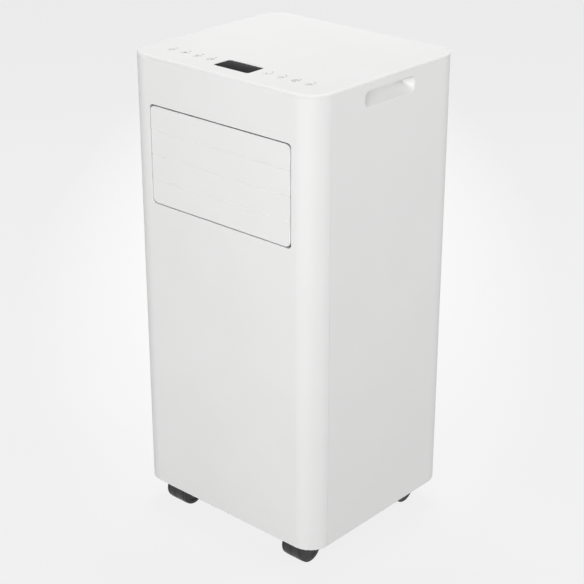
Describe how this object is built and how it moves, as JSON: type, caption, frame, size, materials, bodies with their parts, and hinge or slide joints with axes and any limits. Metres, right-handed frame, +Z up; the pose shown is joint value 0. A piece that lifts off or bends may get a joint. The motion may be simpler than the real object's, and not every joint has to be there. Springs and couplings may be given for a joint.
{
  "type": "portable air conditioner",
  "caption": "Free-standing portable air conditioner: rounded white tower with tilting outlet louvers, top keys and display, side grips, rear filter grilles, hose collar and casters.",
  "frame": {"origin": "middle of the footprint at floor level, where the caster wheels stand", "axes": "+Z up; the front with the air outlet faces -Y; +X is to the right seen from the front"},
  "size_m": [0.33, 0.294, 0.6883],
  "materials": {
    "cabinet_white": "fine satin moulding",
    "blade_white": "fine satin moulding",
    "key_white": "satin with a printed sign",
    "smoked_lens": "polished smoked",
    "circuit_board": "lacquered",
    "duct_grey": "moulded",
    "vane_grey": "moulded",
    "tray_grey": "moulded",
    "fin_aluminium": "bare fins",
    "motor_steel": "plated",
    "fan_black": "moulded",
    "compressor_black": "semi-gloss paint",
    "black_rubber": "moulded",
    "pipe_copper": "bare tube",
    "box_steel": "galvanised",
    "capacitor_can": "drawn can",
    "filter_net": "woven net in a frame",
    "screw_steel": "plated",
    "caster_fork": "moulded",
    "caster_wheel": "moulded"
  },
  "bodies": {
    "cabinet": {"front_panel": "cabinet_white", "rear_cabinet": "cabinet_white", "top_cover": "cabinet_white", "base_pan": "tray_grey", "mid_deck": "tray_grey", "display_window": "smoked_lens", "display_board": "circuit_board", "outlet_frame": "duct_grey", "louver_motor": "motor_steel", "evaporator_coil": "fin_aluminium", "condenser_coil": "fin_aluminium", "upper_scroll": "duct_grey", "upper_fan_motor": "motor_steel", "lower_scroll": "duct_grey", "lower_fan_motor": "motor_steel", "exhaust_collar": "duct_grey", "compressor": "compressor_black", "compressor_feet": "black_rubber", "refrigerant_pipes": "pipe_copper", "slinger_motor": "motor_steel", "control_box": "box_steel", "control_board": "circuit_board", "run_capacitor": "capacitor_can", "cord_gland": "black_rubber", "cabinet_screws": "screw_steel"},
    "louver_1": {"louver_blade_1": "blade_white"},
    "louver_2": {"louver_blade_2": "blade_white"},
    "louver_3": {"louver_blade_3": "blade_white"},
    "louver_4": {"louver_blade_4": "blade_white"},
    "louver_bar": {"louver_link": "vane_grey"},
    "guide_vane_1": {"vane_1": "vane_grey"},
    "guide_vane_2": {"vane_2": "vane_grey"},
    "guide_vane_3": {"vane_3": "vane_grey"},
    "guide_vane_4": {"vane_4": "vane_grey"},
    "vane_bar": {"vane_link": "vane_grey"},
    "power_key": {"key_power": "key_white"},
    "mode_key": {"key_mode": "key_white"},
    "fan_key": {"key_fan": "key_white"},
    "timer_key": {"key_timer": "key_white"},
    "down_key": {"key_down": "key_white"},
    "up_key": {"key_up": "key_white"},
    "sleep_key": {"key_sleep": "key_white"},
    "swing_key": {"key_swing": "key_white"},
    "front_left_fork": {"caster_fork_front_left": "caster_fork"},
    "front_left_wheels": {"caster_wheels_front_left": "caster_wheel"},
    "front_right_fork": {"caster_fork_front_right": "caster_fork"},
    "front_right_wheels": {"caster_wheels_front_right": "caster_wheel"},
    "rear_left_fork": {"caster_fork_rear_left": "caster_fork"},
    "rear_left_wheels": {"caster_wheels_rear_left": "caster_wheel"},
    "rear_right_fork": {"caster_fork_rear_right": "caster_fork"},
    "rear_right_wheels": {"caster_wheels_rear_right": "caster_wheel"},
    "upper_fan": {"upper_fan_wheel": "fan_black"},
    "lower_fan": {"lower_fan_wheel": "fan_black"},
    "slinger": {"slinger_wheel": "fan_black"},
    "upper_filter": {"upper_filter_cover": "cabinet_white", "upper_filter_mesh": "filter_net"},
    "lower_filter": {"lower_filter_cover": "cabinet_white", "lower_filter_mesh": "filter_net"},
    "pan_drain": {"pan_drain_plug": "black_rubber"},
    "deck_drain": {"deck_drain_plug": "black_rubber"}
  },
  "joints": [
    {"name": "louver_1_tilt", "type": "hinge", "parent": "cabinet", "child": "louver_1", "pos_m": [0, -0.14, 0.6036], "axis": [1, 0, 0], "range_deg": [0, 75]},
    {"name": "louver_2_tilt", "type": "hinge", "parent": "cabinet", "child": "louver_2", "pos_m": [0, -0.14, 0.5692], "axis": [1, 0, 0], "range_deg": [0, 75]},
    {"name": "louver_3_tilt", "type": "hinge", "parent": "cabinet", "child": "louver_3", "pos_m": [0, -0.14, 0.5348], "axis": [1, 0, 0], "range_deg": [0, 75]},
    {"name": "louver_4_tilt", "type": "hinge", "parent": "cabinet", "child": "louver_4", "pos_m": [0, -0.14, 0.5004], "axis": [1, 0, 0], "range_deg": [0, 75]},
    {"name": "louver_link_pivot", "type": "hinge", "parent": "louver_1", "child": "louver_bar", "pos_m": [-0.13375, -0.128, 0.6036], "axis": [1, 0, 0], "range_deg": [-75, 0]},
    {"name": "vane_1_swing", "type": "hinge", "parent": "cabinet", "child": "guide_vane_1", "pos_m": [-0.081, -0.104, 0.552], "axis": [0, 0, 1], "range_deg": [-35, 35]},
    {"name": "vane_2_swing", "type": "hinge", "parent": "cabinet", "child": "guide_vane_2", "pos_m": [-0.027, -0.104, 0.552], "axis": [0, 0, 1], "range_deg": [-35, 35]},
    {"name": "vane_3_swing", "type": "hinge", "parent": "cabinet", "child": "guide_vane_3", "pos_m": [0.027, -0.104, 0.552], "axis": [0, 0, 1], "range_deg": [-35, 35]},
    {"name": "vane_4_swing", "type": "hinge", "parent": "cabinet", "child": "guide_vane_4", "pos_m": [0.081, -0.104, 0.552], "axis": [0, 0, 1], "range_deg": [-35, 35]},
    {"name": "vane_link_pivot", "type": "hinge", "parent": "guide_vane_1", "child": "vane_bar", "pos_m": [-0.081, -0.096, 0.48625], "axis": [0, 0, 1], "range_deg": [-35, 35]},
    {"name": "power_press", "type": "slide", "parent": "cabinet", "child": "power_key", "axis": [0, 0, -1], "range_m": [0, 0.001], "stiffness_N_per_m": 400, "springref_m": -0.0005},
    {"name": "mode_press", "type": "slide", "parent": "cabinet", "child": "mode_key", "axis": [0, 0, -1], "range_m": [0, 0.001], "stiffness_N_per_m": 400, "springref_m": -0.0005},
    {"name": "fan_press", "type": "slide", "parent": "cabinet", "child": "fan_key", "axis": [0, 0, -1], "range_m": [0, 0.001], "stiffness_N_per_m": 400, "springref_m": -0.0005},
    {"name": "timer_press", "type": "slide", "parent": "cabinet", "child": "timer_key", "axis": [0, 0, -1], "range_m": [0, 0.001], "stiffness_N_per_m": 400, "springref_m": -0.0005},
    {"name": "down_press", "type": "slide", "parent": "cabinet", "child": "down_key", "axis": [0, 0, -1], "range_m": [0, 0.001], "stiffness_N_per_m": 400, "springref_m": -0.0005},
    {"name": "up_press", "type": "slide", "parent": "cabinet", "child": "up_key", "axis": [0, 0, -1], "range_m": [0, 0.001], "stiffness_N_per_m": 400, "springref_m": -0.0005},
    {"name": "sleep_press", "type": "slide", "parent": "cabinet", "child": "sleep_key", "axis": [0, 0, -1], "range_m": [0, 0.001], "stiffness_N_per_m": 400, "springref_m": -0.0005},
    {"name": "swing_press", "type": "slide", "parent": "cabinet", "child": "swing_key", "axis": [0, 0, -1], "range_m": [0, 0.001], "stiffness_N_per_m": 400, "springref_m": -0.0005},
    {"name": "front_left_swivel", "type": "hinge", "parent": "cabinet", "child": "front_left_fork", "pos_m": [-0.115, -0.096, 0.048], "axis": [0, 0, 1], "continuous": true},
    {"name": "front_left_roll", "type": "hinge", "parent": "front_left_fork", "child": "front_left_wheels", "pos_m": [-0.115, -0.112, 0.021], "axis": [1, 0, 0], "continuous": true},
    {"name": "front_right_swivel", "type": "hinge", "parent": "cabinet", "child": "front_right_fork", "pos_m": [0.115, -0.096, 0.048], "axis": [0, 0, 1], "continuous": true},
    {"name": "front_right_roll", "type": "hinge", "parent": "front_right_fork", "child": "front_right_wheels", "pos_m": [0.115, -0.112, 0.021], "axis": [1, 0, 0], "continuous": true},
    {"name": "rear_left_swivel", "type": "hinge", "parent": "cabinet", "child": "rear_left_fork", "pos_m": [-0.115, 0.084, 0.048], "axis": [0, 0, 1], "continuous": true},
    {"name": "rear_left_roll", "type": "hinge", "parent": "rear_left_fork", "child": "rear_left_wheels", "pos_m": [-0.115, 0.1, 0.021], "axis": [1, 0, 0], "continuous": true},
    {"name": "rear_right_swivel", "type": "hinge", "parent": "cabinet", "child": "rear_right_fork", "pos_m": [0.115, 0.084, 0.048], "axis": [0, 0, 1], "continuous": true},
    {"name": "rear_right_roll", "type": "hinge", "parent": "rear_right_fork", "child": "rear_right_wheels", "pos_m": [0.115, 0.1, 0.021], "axis": [1, 0, 0], "continuous": true},
    {"name": "upper_fan_spin", "type": "hinge", "parent": "cabinet", "child": "upper_fan", "pos_m": [0, 0.0595, 0.398], "axis": [0, 1, 0], "continuous": true},
    {"name": "lower_fan_spin", "type": "hinge", "parent": "cabinet", "child": "lower_fan", "pos_m": [-0.085, -0.0375, 0.151], "axis": [1, 0, 0], "continuous": true},
    {"name": "slinger_spin", "type": "hinge", "parent": "cabinet", "child": "slinger", "pos_m": [0.071, 0.0875, 0.087], "axis": [0, 1, 0], "continuous": true},
    {"name": "upper_filter_pull", "type": "slide", "parent": "cabinet", "child": "upper_filter", "axis": [0, 1, 0], "range_m": [0, 0.06]},
    {"name": "lower_filter_pull", "type": "slide", "parent": "cabinet", "child": "lower_filter", "axis": [0, 1, 0], "range_m": [0, 0.06]},
    {"name": "pan_drain_pull", "type": "slide", "parent": "cabinet", "child": "pan_drain", "axis": [0, 1, 0], "range_m": [0, 0.03]},
    {"name": "deck_drain_pull", "type": "slide", "parent": "cabinet", "child": "deck_drain", "axis": [0, 1, 0], "range_m": [0, 0.03]}
  ],
  "couplings": [
    {"joint": "louver_2_tilt", "follows": "louver_1_tilt", "ratio": 1},
    {"joint": "louver_3_tilt", "follows": "louver_1_tilt", "ratio": 1},
    {"joint": "louver_4_tilt", "follows": "louver_1_tilt", "ratio": 1},
    {"joint": "louver_link_pivot", "follows": "louver_1_tilt", "ratio": -1},
    {"joint": "vane_2_swing", "follows": "vane_1_swing", "ratio": 1},
    {"joint": "vane_3_swing", "follows": "vane_1_swing", "ratio": 1},
    {"joint": "vane_4_swing", "follows": "vane_1_swing", "ratio": 1},
    {"joint": "vane_link_pivot", "follows": "vane_1_swing", "ratio": -1}
  ]
}
